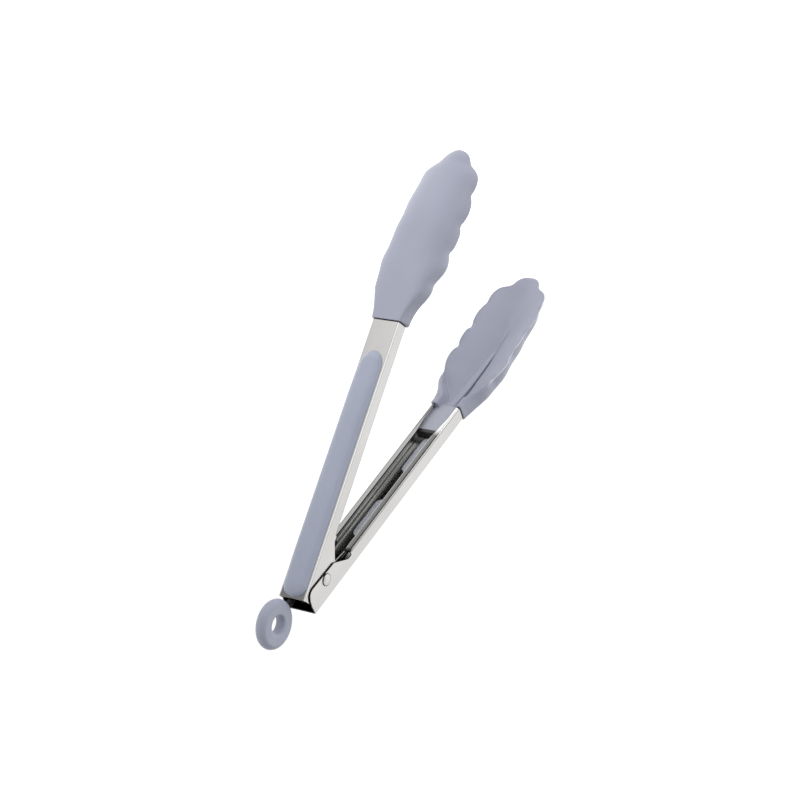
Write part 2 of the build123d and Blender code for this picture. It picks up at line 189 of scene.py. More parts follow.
def head_mesh(side):
    out = head_outline(side)
    tip = out[-1, 0]
    hu = np.array(HU)
    wc = HW[side] + COLLAR_T[side]
    # stations: close together near the collar and the tip
    us = np.concatenate([
        np.linspace(COLLAR, tip - 9.0, 230, endpoint=False),
        tip - 9.0 * (1 - np.linspace(0, 1, 70)) ** 2,
    ])
    us[-1] = tip - 0.004
    order = np.argsort(out[:, 0])
    we = np.interp(us, out[order, 0], out[order, 1])
    # smooth envelope outside the scallops, for the inner surface
    env = np.maximum(spline(ENV_U, ENV_W, us) + np.interp(us, *FLARE), we)
    env[us < 158] = np.maximum(we, env - 1.0)[us < 158]
    rim, back = spline(hu, H_RIM, us), spline(hu, H_BACK, us)
    t_end = np.clip((tip - us) / 6.0, 0, 1)
    back = rim - 0.9 - (rim - 0.9 - back) * np.sqrt(1 - (1 - t_end) ** 2)
    sig = step(156.5, 186, us)
    mid = spline([152.5, 155, 159, 166, 176, 184, 192, 202, 212, 222, 232, 242, 252, 260, 264, 267, 270],
                 [6.1, 5.8, 4.7, 3.0, 1.7, 1.6, 1.5, 1.7, 2.6, 3.9, 5.9, 8.2, 10.9, 13.7, 15.3, 16.45, 16.78], us)
    # raised spine on the middle line, with a slit along one side that runs on past its end
    rib = spline([152.5, 155, 160, 166, 172, 180, 187, 195, 203, 210, 217, 270], [6.1, 6.0, 5.4, 4.75, 4.3, 3.95, 3.75, 3.55, 3.3, 3.0, 2.6, 1.6], us)
    rib_w = np.interp(us, [152.5, 165, 180, 195, 205, 212, 218], [2.5, 2.3, 2.1, 1.7, 1.2, 0.7, 0.3])
    slit_w = spline([152.5, 156, 160, 166, 172, 180, 195, 205, 215, 224, 234], [3.6, 3.5, 3.3, 3.0, 2.8, 2.55, 2.1, 1.65, 1.2, 0.9, 0.7], us)
    slit = step(154, 164, us) * step(218, 196, us)
    slit_c = step(151.5, 156, us) * step(235, 219, us)
    crease = 0.15 + 4.5 * step(214, 246, us)
    thick = np.interp(us, [152.5, 160.5, 168, 180, 190], [4.4, 5.2, 3.4, 1.4, 0.95])
    thin = np.interp(us, [152.5, 158.5, 160.1, 161.6, 165, 169, 180, 190], [2.55, 3.32, 3.7, 2.3, 1.85, 1.5, 1.2, 0.95]) + 0.95 * (10.1 - HW[side]) * step(166, 160.4, us)
    wall_k = np.interp(us, [152.5, 158, 170, 182, 190], [3.0, 2.0, 1.6, 2.4, 3.4])
    r_top = np.interp(us, [152.5, 156, 168, 176, 184], [1.3, 2.2, 2.2, 1.2, 0.6])
    # the back: boxy at the collar, a full round belly further out; the flutes fade down the sides
    power = np.interp(us, [152.5, 160, 168, 176, 186, 196, 212, 220, 230, 240, 250, 258, 268],
                      [15.0, 11.0, 7.0, 5.0, 3.9, 3.1, 2.85, 2.5, 2.35, 2.15, 2.05, 1.9, 1.8])
    hw = HW[side]
    sm = np.interp(us, [152.5, 156, 160, 164, 168, 172, 176, 180, 184, 188, 192, 202, 212, 222, 230, 238, 246, 252, 256],
                   [wc + 0.15, hw + 1.5, hw + 2.6, hw * 0.5 + 8.8, hw * 0.3 + 12.3, 16.6, 17.5, 18.0, 18.8, 19.5, 19.7, 19.4, 19.3, 19.1, 18.9, 18.3, 17.4, 16.4, 14.4])
    sm = np.where(us > 252, sm + (0.84 * we - sm) * step(250, 257, us), sm)
    shift = np.interp(us, [156, 176, 236, 256, 269], [0, HEAD_W[side], HEAD_W[side], HEAD_TIP[side], HEAD_TIP[side]])
    dip = 0.6 * np.maximum(env - we, 0) * step(178, 184, us) * step(257, 253, us)

    def inner(i, w):
        aw = np.abs(w)
        soft = np.sqrt(aw ** 2 + crease[i] ** 2) - crease[i]
        span = np.sqrt(env[i] ** 2 + crease[i] ** 2) - crease[i]
        x = soft / max(span, 1e-6)
        leaf = mid[i] + (rim[i] - mid[i]) * sig[i] * (1.28 * x - 0.28 * x * x)
        spine = rib[i] - 2.4 * np.maximum(aw - rib_w[i], 0) - 0.12 * np.minimum(aw / rib_w[i], 1) ** 4
        k = np.where(w < 0, 1.2, 0.4)
        leaf = np.maximum(leaf, spine) + np.maximum(k - np.abs(leaf - spine), 0) ** 2 / (4 * k)
        gap = np.exp(-((w - slit_w[i]) / 0.42) ** 2)
        leaf = leaf - (0.45 * slit[i] + 0.15 * slit_c[i]) * gap
        # the slit mask also darkens the colour: painted shade in the slit
        gap = gap * slit_c[i]
        leaf = leaf - dip[i] * np.clip((aw - we[i] + 5) / 5, 0, 1) ** 2
        wall = np.where(w > 0, rim[i] - 3.4 * ((env[i] - thin[i]) - aw), rim[i] - wall_k[i] * ((env[i] - thick[i]) - aw))
        k = 0.9
        m = np.maximum(leaf, wall)
        v = m + np.maximum(k - np.abs(leaf - wall), 0) ** 2 / (4 * k)
        return np.minimum(v, rim[i] + 0.15 * np.clip(v - rim[i], 0, 1.5)), gap

    def dist(p, line):
        d = np.full(len(p), 1e9)
        for a in range(0, len(line), 400):
            q = line[a:a + 400]
            dd = np.sqrt(((p[:, None, :] - q[None]) ** 2).sum(2)).min(1)
            d = np.minimum(d, dd)
        return d

    def columns(i):
        """Across the inside: close together at the rim and round the slit."""
        lo_c, hi_c = slit_w[i] - 1.3, slit_w[i] + 1.3
        f = min(1.0, we[i] / 6.0)
        lo_c, hi_c = lo_c * f, hi_c * f
        a = np.linspace(0, 1, 48, endpoint=False)
        left = -we[i] + (lo_c + we[i]) * (0.35 * a + 0.65 * 0.5 * (1 - np.cos(math.pi * a * 0.82)) / (0.5 * (1 - math.cos(math.pi * 0.82))))
        b = np.linspace(lo_c, hi_c, 22, endpoint=False)
        c = np.linspace(0, 1, 40)
        right = hi_c + (we[i] - hi_c) * (1 - (0.35 * (1 - c) + 0.65 * 0.5 * (1 - np.cos(math.pi * (1 - c) * 0.82)) / (0.5 * (1 - math.cos(math.pi * 0.82)))))
        return np.concatenate([left, b, right])

    nt, nb, ns = 110, 121, 0
    th = np.linspace(0, math.pi, nb + 2)[1:-1]
    # even steps round the belly
    th = th - 0.12 * np.sin(4 * th)
    line = out.copy()
    loops, rim_light_slit_shade = [], []
    for i, u in enumerate(us):
        wt = columns(i)
        vt, gap = inner(i, wt)
        pt = np.stack([np.full(nt, u), np.abs(wt)], 1)
        r = r_top[i]
        d = dist(pt, line)
        # painted highlight: a light line along the near rim only
        painted_rim_highlight = np.clip(1 - d / 0.48, 0, 1) * float(step(170, 182, u)) * (wt > 0)
        d = np.minimum(d, r)
        vt = vt - (r - np.sqrt(np.maximum(r * r - (r - d) ** 2, 0)))
        v_rim = min(vt[0], vt[-1])
        depth = np.abs(np.sin(th)) ** (2 / power[i])
        half = sm[i] + (we[i] - sm[i]) * (1 - depth) ** 1.5
        wo = np.sign(np.cos(th)) * np.abs(np.cos(th)) ** (2 / power[i]) * half
        top = np.where(wo > 0, vt[-1], vt[0])
        even = top + (rim[i] - r - top) * float(step(178, 186, u)) * float(step(262, 256, u))
        vo = even - (even - min(back[i], v_rim - 0.6)) * depth + (top - even) * (1 - depth) ** 3
        loop = np.concatenate([np.stack([wt, vt], 1), np.stack([wo, vo], 1)])
        loops.append(np.column_stack([np.full(len(loop), u), loop[:, 1], loop[:, 0] + shift[i]]))
        # per vertex: painted rim highlight minus painted slit shade
        rim_light_slit_shade.append(np.concatenate([painted_rim_highlight - gap, np.zeros(nb)]))
    n = len(loops[0])
    # rounded lip at the collar: the first loop drawn in along its own normals, then closed onto its middle line
    first = loops[0]
    nxt, prv = np.roll(first, -1, 0), np.roll(first, 1, 0)
    tan = (nxt - prv)[:, 1:]
    nor = np.stack([tan[:, 1], -tan[:, 0]], 1)
    nor /= np.maximum(np.linalg.norm(nor, axis=1)[:, None], 1e-9)
    area = 0.5 * np.sum(first[:, 1] * nxt[:, 2] - nxt[:, 1] * first[:, 2])
    sign = 1.0 if area > 0 else -1.0
    rr = 0.35
    lead = []
    for a in (0, 22, 45, 67):
        q = first.copy()
        q[:, 1:] -= sign * nor * rr * (1 - math.sin(math.radians(a)))
        q[:, 0] = COLLAR + rr - rr * math.cos(math.radians(a))
        lead.append(q)
    loops[0][:, 0] = COLLAR + rr
    shut = lead[0].copy()
    shut[:, 1] = 3.0 + (shut[:, 1] - 3.0) * 0.02
    lead = [shut] + lead
    rim_light_slit_shade = np.concatenate([np.zeros(len(lead) * n)] + rim_light_slit_shade)
    loops = lead + loops
    verts = np.concatenate(loops)
    faces = []
    for i in range(len(loops) - 1):
        a, b = i * n, (i + 1) * n
        for j in range(n):
            k = (j + 1) % n
            faces.append((a + j, a + k, b + k, b + j))
    last = (len(loops) - 1) * n
    faces.append(tuple(last + j for j in range(n))[::-1])
    return arm_to_row(side, verts), faces, rim_light_slit_shade


# ------------------------------------------------------------------ stiff inserts
def core_mesh(side):
    """Tongue that lies in the end of the channel, and a flat blade inside the silicone."""
    hw = HW[side]
    us = [130.0, 130.25, 131.0, 140.0, 151.0, 154.8, 155.6, 158.0, 164.0, 172.0, 184.0, 202.0, 222.0, 240.0, 252.0, 253.5]
    half = [hw - 1.35, hw - 1.05, hw - 0.95, hw - 0.95, hw - 0.95, hw - 1.2, hw - 1.8, 7.2, 7.4, 8.0, 8.6, 9.0, 7.6, 5.0, 2.0, 0.6]
    top = [6.0, 6.3, 6.4, 6.4, 6.4, 6.35, 5.3, 3.4, 1.9, 1.2, 0.7, 0.6, 2.6, 6.8, 9.7, 10.0]
    low = [1.2, 0.95, 0.85, 0.85, 0.85, 0.85, 0.6, 0.4, 0.2, 0.0, -0.3, -0.2, 1.7, 6.0, 9.0, 9.6]
    th = np.linspace(0, 2 * math.pi, 72, endpoint=False)
    c, s_ = np.cos(th), np.sin(th)
    verts, faces, n = [], [], len(th)
    for u, a, t, b in zip(us, half, top, low):
        w = np.sign(c) * np.abs(c) ** 0.2 * a
        v = (t + b) / 2 + np.sign(s_) * np.abs(s_) ** 0.2 * (t - b) / 2
        verts.append(np.column_stack([np.full(n, u), v, w]))
    for i in range(len(us) - 1):
        p, q = i * n, (i + 1) * n
        for j in range(n):
            k = (j + 1) % n
            faces.append((p + j, p + k, q + k, q + j))
    faces.append(tuple(range(n)))
    last = (len(us) - 1) * n
    faces.append(tuple(last + j for j in range(n))[::-1])
    return arm_to_row(side, np.concatenate(verts)), faces


# ------------------------------------------------------------------ grip pads
GRIP_U0, GRIP_U1, GRIP_HW, GRIP_T = -15.5, 133.0, 7.95, 2.5
PLUGS = ((44.0, 74.0), (100.0, 129.0))


def obround(u0, u1, hw, n=24):
    a = np.linspace(-90, 90, n)
    p = [(u1 - hw + hw * math.cos(math.radians(x)), hw * math.sin(math.radians(x))) for x in a]
    p += [(u0 + hw + hw * math.cos(math.radians(x)), hw * math.sin(math.radians(x))) for x in a + 180]
    return np.array(p)


def grip_mesh(side):
    us = np.concatenate([
        GRIP_U0 + 8.0 * np.linspace(0, 1, 40) ** 2,
        np.linspace(GRIP_U0 + 8.0, GRIP_U1 - 14.0, 120)[1:-1],
        GRIP_U1 - 14.0 * (1 - np.linspace(0, 1, 50)) ** 2,
    ])
    lo_l, hi_l = 7.0, 12.0
    a = np.clip((us - GRIP_U0) / lo_l, 0, 1)
    b = np.clip((GRIP_U1 - us) / hi_l, 0, 1)
    hw = GRIP_HW * (1 - (1 - a) ** 2.2) ** (1 / 2.2) * (1 - (1 - b) ** 2.05) ** (1 / 2.05)
    hw = np.maximum(hw, 0.01)
    crown = GRIP_T + 0.7 * step(118, 106, us)
    nose = np.clip((us - GRIP_U0) / 9.0, 0.02, 1)
    ends = (0.4 * np.sqrt(1 - (1 - nose) ** 2) + 0.6 * (1 - (1 - nose) ** 2)) * np.minimum(step(-0.12, 0.5, b), 1)
    nt = 49
    th = np.linspace(-1, 1, nt)
    x = np.sign(th) * (1 - (1 - np.abs(th)) ** 1.8)
    verts, faces = [], []
    rows = []
    for i, u in enumerate(us):
        top = -crown[i] * ends[i] * np.clip(1 - np.abs(x) ** 2.4, 0, 1) ** 0.5
        far = hw[i] + 0.45 * float(step(-6, 8, u) * step(124, 112, u))
        w = np.where(x < 0, x * far, x * hw[i])
        row = np.column_stack([np.full(nt, u), top - 0.0, w])
        base = np.column_stack([np.full(2, u), np.full(2, 0.12), [hw[i], -far]])
        rows.append(np.concatenate([row, base]))
    n = nt + 2
    verts = list(np.concatenate(rows))
    for i in range(len(rows) - 1):
        p, q = i * n, (i + 1) * n
        for j in range(n):
            k = (j + 1) % n
            faces.append((p + j, p + k, q + k, q + j))
    faces.append(tuple(range(n)))
    last = (len(rows) - 1) * n
    faces.append(tuple(last + j for j in range(n))[::-1])
    verts = [tuple(v) for v in verts]
    # plugs through the windows of the web, with a rounded flange inside the channel
    for p0, p1 in PLUGS:
        prof = [(0.0, 0.05), (0.0, 0.8), (0.6, 0.8), (0.6, 1.75), (0.5, 1.97), (0.28, 2.1), (-0.25, 2.12)]
        start = len(verts)
        m = None
        for grow, v in prof:
            ring = obround(p0 - grow, p1 + grow, 3.3 + grow)
            m = len(ring)
            verts += [(q[0], v, q[1]) for q in ring]
        for r in range(len(prof) - 1):
            a0, b0 = start + r * m, start + (r + 1) * m
            for j in range(m):
                k = (j + 1) % m
                faces.append((a0 + j, a0 + k, b0 + k, b0 + j))
        faces.append(tuple(start + j for j in range(m)))
        e = start + (len(prof) - 1) * m
        faces.append(tuple(e + j for j in range(m))[::-1])
    return arm_to_row(side, np.array(verts)), faces


# ------------------------------------------------------------------ ring
RING_X, RING_RO, RING_HOLE, RING_T = 38.2, 14.4, 5.0, 6.8


def ring_mesh():
    h2 = RING_T / 2
    land, fr = 1.4, RING_T / 2 - 1.4
    prof = []
    prof += [(RING_HOLE, z) for z in np.linspace(-land, land, 5)]
    for a in np.linspace(180, 90, 14)[1:]:
        prof.append((RING_HOLE + fr + fr * math.cos(math.radians(a)), land + fr * math.sin(math.radians(a))))
    x0, x1 = RING_HOLE + fr, RING_RO - h2
    for x in np.linspace(x0, x1, 8)[1:]:
        t = (x - x0) / (x1 - x0)
        prof.append((x, h2 - 0.0 * math.sin(math.pi * t)))
    for a in np.linspace(90, -90, 40)[1:]:
        prof.append((RING_RO - h2 + h2 * math.cos(math.radians(a)), h2 * math.sin(math.radians(a))))
    for x in np.linspace(x1, x0, 8)[1:]:
        prof.append((x, -h2))
    for a in np.linspace(270, 180, 14)[1:-1]:
        prof.append((RING_HOLE + fr + fr * math.cos(math.radians(a)), -land + fr * math.sin(math.radians(a))))
    prof = np.array(prof)
    n, m = len(prof), 160
    verts, faces = [], []
    for i in range(m):
        a = 2 * math.pi * i / m
        for r, z in prof:
            verts.append((-RING_X + r * math.cos(a), r * math.sin(a), LOCK_Z + z))
    for i in range(m):
        p, q = i * n, ((i + 1) % m) * n
        for j in range(n):
            k = (j + 1) % n
            faces.append((p + j, p + k, q + k, q + j))
    return lock_to_row(np.array(verts)), faces


# ------------------------------------------------------------------ spring wire
WIRE_R, COIL_R, COIL_Z0, COIL_N = 0.7, 4.3, 0.55, 4.75


def web_point(side, u, gap):
    a = OPEN * side
    h = ((VP["inner"] if side > 0 else VP["outer"]) - 0.8 - gap) * side
    return np.array([u * math.cos(a) - h * math.sin(a), u * math.sin(a) + h * math.cos(a)])


def spring_path():
    pitch = 2 * WIRE_R + 0.06
    z_lo, z_hi = COIL_Z0, COIL_Z0 + pitch * COIL_N
    pts = {}
    for side in (1, -1):
        tip = web_point(side, 33.0, WIRE_R + 0.25)
        d = np.hypot(*tip)
        a = math.atan2(tip[1], tip[0]) + math.acos(COIL_R / d) * side
        pts[side] = (a, tip)
    a0, a1 = pts[-1][0], pts[1][0]
    # the wire comes in along the lower leg, winds up the coil and leaves along the upper leg
    turn = (a1 - a0) % (2 * math.pi)
    total = -(2 * math.pi * 5 - turn)
    path = []
    tip = pts[-1][1]
    p = np.array([COIL_R * math.cos(a0), COIL_R * math.sin(a0)])
    for t in np.linspace(0, 1, 30, endpoint=False):
        q = tip + (p - tip) * t
        path.append((q[0], q[1], z_lo))
    for t in np.linspace(0, 1, 240):
        a = a0 + total * t
        path.append((COIL_R * math.cos(a), COIL_R * math.sin(a), z_lo + (z_hi - z_lo) * t))
    tip = pts[1][1]
    p = np.array([COIL_R * math.cos(a1), COIL_R * math.sin(a1)])
    for t in np.linspace(0, 1, 31)[1:]:
        q = p + (tip - p) * t
        path.append((q[0], q[1], z_hi))
    return np.array(path)


def tube(path, r, m=14):
    path = np.asarray(path, float)
    tan = np.gradient(path, axis=0)
    tan /= np.linalg.norm(tan, axis=1)[:, None]
    up = np.array([0, 0, 1.0])
    verts, faces = [], []
    rings = []
    cap = [(0.35, 0.95), (0.75, 0.66), (1.0, 0.0)]
    stations = []
    for along, rad in cap[::-1]:
        stations.append((path[0] - tan[0] * r * along, tan[0], max(rad, 0.02) * r))
    for p, t in zip(path, tan):
        stations.append((p, t, r))
    for along, rad in cap:
        stations.append((path[-1] + tan[-1] * r * along, tan[-1], max(rad, 0.02) * r))
    for p, t, rr in stations:
        x = np.cross(t, up)
        x /= np.linalg.norm(x)
        y = np.cross(x, t)
        a = np.linspace(0, 2 * math.pi, m, endpoint=False)
        rings.append(p + rr * (np.cos(a)[:, None] * x + np.sin(a)[:, None] * y))
    verts = np.concatenate(rings)
    for i in range(len(rings) - 1):
        p, q = i * m, (i + 1) * m
        for j in range(m):
            k = (j + 1) % m
            faces.append((p + j, p + k, q + k, q + j))
    faces.append(tuple(range(m)))
    last = (len(rings) - 1) * m
    faces.append(tuple(last + j for j in range(m))[::-1])
    return verts, faces


# ------------------------------------------------------------------ materials
class Net:
    """Small helper round a material's node tree."""

    def __init__(self, name):
        self.mat = bpy.data.materials.new(name)
        self.mat.use_nodes = True
        self.t = self.mat.node_tree
        self.t.nodes.clear()
        self.out = self.t.nodes.new("ShaderNodeOutputMaterial")
        self.bsdf = self.t.nodes.new("ShaderNodeBsdfPrincipled")
        self.t.links.new(self.bsdf.outputs[0], self.out.inputs[0])

    def node(self, kind, **kw):
        n = self.t.nodes.new(kind)
        for k, v in kw.items():
            setattr(n, k, v)
        return n

    def link(self, a, b):
        self.t.links.new(a, b)

    def coords(self, matrix=None, offset=(0, 0, 0), scale=(1000, 1000, 1000)):
        """Object coordinates taken through rotation, scale and offset."""
        tc = self.node("ShaderNodeTexCoord")
        mp = self.node("ShaderNodeMapping")
        mp.inputs["Scale"].default_value = scale
        if matrix is not None:
            mp.inputs["Rotation"].default_value = Matrix(matrix.tolist()).to_euler("XYZ")
        mp.inputs["Location"].default_value = offset
        self.link(tc.outputs["Object"], mp.inputs["Vector"])
        return mp.outputs["Vector"]

    def scaled(self, vec, s):
        mp = self.node("ShaderNodeMapping")
        mp.inputs["Scale"].default_value = s
        self.link(vec, mp.inputs["Vector"])
        return mp.outputs["Vector"]

    def noise(self, vec, scale, detail=3.0, rough=0.5, distortion=0.0):
        n = self.node("ShaderNodeTexNoise")
        n.inputs["Scale"].default_value = scale
        n.inputs["Detail"].default_value = detail
        n.inputs["Roughness"].default_value = rough
        n.inputs["Distortion"].default_value = distortion
        self.link(vec, n.inputs["Vector"])
        return n.outputs["Fac"]

    def ramp(self, fac, stops, interp="LINEAR"):
        r = self.node("ShaderNodeValToRGB")
        r.color_ramp.interpolation = interp
        while len(r.color_ramp.elements) < len(stops):
            r.color_ramp.elements.new(0.5)
        for e, (p, c) in zip(r.color_ramp.elements, stops):
            e.position = p
            e.color = (*c, 1) if len(c) == 3 else c
        self.link(fac, r.inputs["Fac"])
        return r.outputs["Color"]

    def remap(self, x, a, b, c, d, smooth=False):
        m = self.node("ShaderNodeMapRange")
        if smooth:
            m.interpolation_type = "SMOOTHSTEP"
        for k, v in zip(("From Min", "From Max", "To Min", "To Max"), (a, b, c, d)):
            m.inputs[k].default_value = v
        self.link(x, m.inputs["Value"])
        return m.outputs["Result"]

    def math(self, op, a, b=None):
        m = self.node("ShaderNodeMath", operation=op)
        for k, v in ((0, a), (1, b)):
            if v is None:
                continue
            if isinstance(v, (int, float)):
                m.inputs[k].default_value = v
            else:
                self.link(v, m.inputs[k])
        return m.outputs[0]

    def mix(self, fac, a, b):
        m = self.node("ShaderNodeMix", data_type="RGBA")
        self.link(fac, m.inputs["Factor"])
        for s, v in (("A", a), ("B", b)):
            sock = [i for i in m.inputs if i.name == s and i.type == "RGBA"][0]
            if isinstance(v, tuple):
                sock.default_value = (*v, 1)
            else:
                self.link(v, sock)
        return [o for o in m.outputs if o.type == "RGBA"][0]

    def mixf(self, fac, a, b):
        m = self.node("ShaderNodeMix", data_type="FLOAT")
        self.link(fac, m.inputs["Factor"])
        for s, v in (("A", a), ("B", b)):
            sock = [i for i in m.inputs if i.name == s and i.type == "VALUE"][0]
            if isinstance(v, (int, float)):
                sock.default_value = v
            else:
                self.link(v, sock)
        return [o for o in m.outputs if o.type == "VALUE"][0]

    def xyz(self, vec):
        s = self.node("ShaderNodeSeparateXYZ")
        self.link(vec, s.inputs[0])
        return s.outputs[0], s.outputs[1], s.outputs[2]

    def bump(self, height, strength, distance):
        b = self.node("ShaderNodeBump")
        b.inputs["Strength"].default_value = strength
        b.inputs["Distance"].default_value = distance
        self.link(height, b.inputs["Height"])
        self.link(b.outputs["Normal"], self.bsdf.inputs["Normal"])

    def set(self, **kw):
        for k, v in kw.items():
            sock = self.bsdf.inputs[k.replace("_", " ")]
            if isinstance(v, (int, float, tuple)):
                sock.default_value = (*v, 1) if isinstance(v, tuple) and len(v) == 3 and sock.type == "RGBA" else v
            else:
                self.link(v, sock)


def lin(r, g, b):
    f = lambda c: c / 12.92 if c <= 0.04045 else ((c + 0.055) / 1.055) ** 2.4
    return tuple(f(x / 255.0) for x in (r, g, b))


def arm_coords(net, side):
    """(u, v, w) of an arm in mm from object coordinates."""
    m, o = arm_axes(side)
    full = np.linalg.inv(m) @ RY.T              # row frame to arm axes
    off = -full @ PLACE - np.linalg.inv(m) @ o
    if side == "outer":
        return net.coords(full, tuple(off), (1000, 1000, 1000))
    flip = np.diag([1.0, -1.0, 1.0])
    return net.coords(full @ flip, tuple(off), (1000, -1000, 1000))


def steel(side):
    n = Net(f"steel_{side}")
    vec = arm_coords(n, side)
    u, v, w = n.xyz(vec)
    aw = n.math("ABSOLUTE", w)
    hw = HW[side]
    tc = n.node("ShaderNodeTexCoord")
    nz = n.math("ABSOLUTE", n.xyz(tc.outputs["Normal"])[2])
    # inside of the channel: behind the web, between the walls, under the lips
    inside = n.math("MULTIPLY", n.remap(v, 0.35, 0.6, 0, 1), n.remap(aw, hw - 0.45, hw - 0.3, 1, 0))
    inside = n.math("MULTIPLY", inside, n.remap(v, 8.25, 8.4, 1, 0))
    # rolled lips: painted reflection, bright on the crown and dark at both edges
    lips = n.math("MULTIPLY", n.remap(v, 8.3, 8.45, 0, 1), n.remap(u, 24.5, 25.0, 0, 1))
    # the hinge ears' edge faces: painted shade, dark as the gap between the ears
    ear_edge_shade = n.math("MULTIPLY", n.remap(nz, 0.3, 0.6, 1, 0), n.remap(aw, hw - 0.95, hw - 0.85, 0, 1))
    ear_edge_shade = n.math("MULTIPLY", ear_edge_shade, n.math("MULTIPLY", n.remap(v, 1.3, 1.6, 0, 1), n.remap(u, 23.5, 24.5, 1, 0)))
    streak = n.noise(n.scaled(vec, (0.02, 1.9, 1.9)), 1.0, 3.0, 0.55)
    fine = n.noise(n.scaled(vec, (0.05, 9.0, 9.0)), 1.0, 2.0, 0.6)
    broad = n.noise(n.scaled(vec, (0.02, 0.06, 0.06)), 1.0, 2.0, 0.5)
    out_c = n.ramp(broad, [(0.3, (0.375, 0.368, 0.362)), (0.7, (0.405, 0.40, 0.394))])
    g = lambda x: (x, x, x * 0.985)
    p = lambda x: (x + hw) / (2 * hw)
    q = lambda x: x / 9.2
    # the lips: painted reflection, a bright band on one side, a darker one on the other, dark at the rolled edges
    lip_reflect_c = n.ramp(n.remap(w, -hw, hw, 0, 1), [
        (p(-hw), g(0.02)), (p(-hw + 1.25), g(0.02)), (p(-hw + 1.5), g(0.38)), (p(-hw + 3.9), g(0.40)), (p(-hw + 4.15), g(0.05)),
        (p(-hw + 4.6), g(0.03)), (p(hw - 4.4), g(0.70)), (p(hw - 4.15), g(0.55)), (p(hw - 3.95), g(0.20)), (p(hw - 1.6), g(0.15)),
        (p(hw - 1.0), g(0.04)), (p(hw - 0.6), g(0.34))])
    neck = n.remap(u, 126.0, 131.0, 0, 1)
    lip_reflect_n = n.ramp(n.remap(w, -hw, hw, 0, 1), [(p(-hw), g(0.05)), (p(-hw + 0.6), g(0.11)), (p(-hw + 1.7), g(0.12)), (p(-hw + 2.0), g(0.4)), (p(0), g(0.3)), (p(hw - 2.3), g(0.78)), (p(hw - 1.0), g(0.74)), (p(hw - 0.6), g(0.36))])
    lip_reflect_c = n.mix(neck, lip_reflect_c, lip_reflect_n)
    # painted shade at the lip ends by the hinge
    lip_reflect_c = n.mix(n.remap(u, 28.0, 26.0, 0, 1), lip_reflect_c, g(0.02))
    # inside: painted reflection bands run along the walls; the web is painted in shade, dark with streaks
    web_shade_c = n.ramp(streak, [(0.3, g(0.16)), (0.5, g(0.26)), (0.62, g(0.42)), (0.75, g(0.26))])
    wall_reflect_c = n.ramp(n.remap(v, 0, 9.2, 0, 1), [
        (q(0.9), g(0.10)), (q(1.3), g(0.45)), (q(3.0), g(0.50)), (q(3.3), g(0.06)), (q(3.6), g(0.05)), (q(3.75), g(0.34)),
        (q(4.15), g(0.34)), (q(4.3), g(0.05)), (q(4.6), g(0.05)), (q(4.8), g(0.40)), (q(5.2), g(0.30)), (q(5.5), g(0.04))])
    inside_painted_c = n.mix(n.remap(aw, hw - 1.9, hw - 1.3, 0, 1), web_shade_c, wall_reflect_c)
    inside_painted_c = n.mix(neck, inside_painted_c, g(0.5))
    # painted shade in the hinge window
    inside_painted_c = n.mix(n.remap(u, 31.0, 25.5, 0, 1), inside_painted_c, g(0.02))
    # painted shadow: a dark line on the steel just before the silicone collar
    collar_shadow = n.math("MULTIPLY", n.remap(u, 151.6, 151.9, 0, 1), n.remap(u, 152.6, 152.8, 1, 0))
    # the web is darker toward the hinge end; the folds get a painted highlight, brighter on the near side
    tail = n.math("MULTIPLY", n.remap(u, 8.0, -14.0, 0, 1), n.remap(v, 0.6, 0.9, 1, 0))
    out_c = n.mix(n.math("MULTIPLY", tail, n.remap(aw, hw - 1.3, hw - 1.0, 1, 0)), out_c, g(0.15))
    fold_highlight = n.math("MULTIPLY", n.remap(v, 0.7, 0.9, 1, 0), n.remap(aw, hw - 0.8, hw - 0.6, 0, 1))
    out_c = n.mix(fold_highlight, out_c, n.mix(n.remap(w, -0.5, 0.5, 0, 1), g(0.42), g(0.62)))
    # painted reflection: a dark band along the far roll of the lips
    roll = n.math("MULTIPLY", n.remap(v, 7.4, 7.9, 0, 1), n.remap(w, -hw + 1.0, -hw + 0.7, 0, 1))
    out_c = n.mix(n.math("MULTIPLY", roll, n.remap(u, 24.5, 25.0, 0, 1)), out_c, g(0.03))
    col = n.mix(lips, out_c, lip_reflect_c)
    col = n.mix(inside, col, inside_painted_c)
    # painted shade on the ear edge faces
    col = n.mix(ear_edge_shade, col, g(0.012))
    col = n.mix(collar_shadow, col, g(0.015))
    bare = n.math("MULTIPLY", inside, neck)
    n.set(Base_Color=col, Metallic=n.remap(bare, 0, 1, 1, 0),
          Roughness=n.mixf(inside, n.remap(fine, 0.25, 0.75, 0.20, 0.25), n.remap(fine, 0.25, 0.75, 0.18, 0.28)))
    n.bump(fine, 0.025, 0.0001)
    return n.mat


